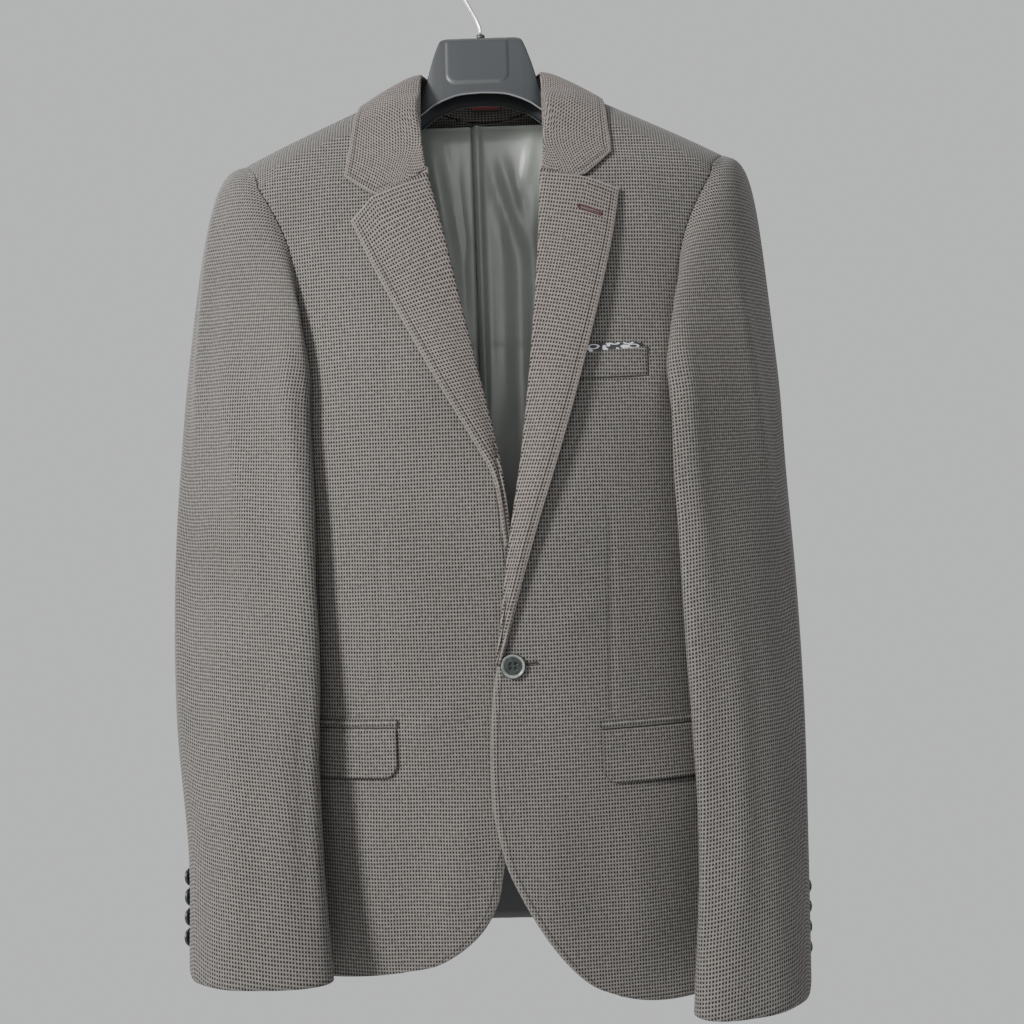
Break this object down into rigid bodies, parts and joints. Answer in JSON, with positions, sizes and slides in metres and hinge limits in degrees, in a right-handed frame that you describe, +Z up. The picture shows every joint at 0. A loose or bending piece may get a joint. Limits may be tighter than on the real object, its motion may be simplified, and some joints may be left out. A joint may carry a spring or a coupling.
{
  "type": "blazer on a hanger",
  "caption": "One-button blazer with notch lapels, flap pockets and a breast pocket, hanging on a moulded hanger with a bent wire hook.",
  "frame": {"origin": "the inner top of the hook, where a rail would carry it", "axes": "+Z up, +X to the wearer's left, +Y to the back, so the fronts face -Y"},
  "size_m": [0.5252, 0.2217, 0.885],
  "materials": {
    "cloth": "matt small check",
    "collar_cloth": "matt small check",
    "lining": "satin",
    "label": "satin ribbon",
    "square": "printed",
    "button": "satin",
    "plastic": "satin",
    "steel": "bright"
  },
  "bodies": {
    "root": {"lining_back": "lining", "back_left": "cloth", "front_left": "cloth", "lapel_left": "collar_cloth", "sleeve_top_left": "cloth", "sleeve_under_left": "cloth", "flap_left": "cloth", "jet_left": "cloth", "back_right": "cloth", "front_right": "cloth", "lapel_right": "collar_cloth", "sleeve_top_right": "cloth", "sleeve_under_right": "cloth", "flap_right": "cloth", "jet_right": "cloth", "collar": "collar_cloth", "label": "label", "chest_welt": "cloth", "pocket_square": "square", "front_button": "button", "cuff_button_left_1": "button", "cuff_button_left_2": "button", "cuff_button_left_3": "button", "cuff_button_left_4": "button", "cuff_button_right_1": "button", "cuff_button_right_2": "button", "cuff_button_right_3": "button", "cuff_button_right_4": "button", "hanger_body": "plastic", "hanger_hook": "steel"}
  },
  "joints": []
}
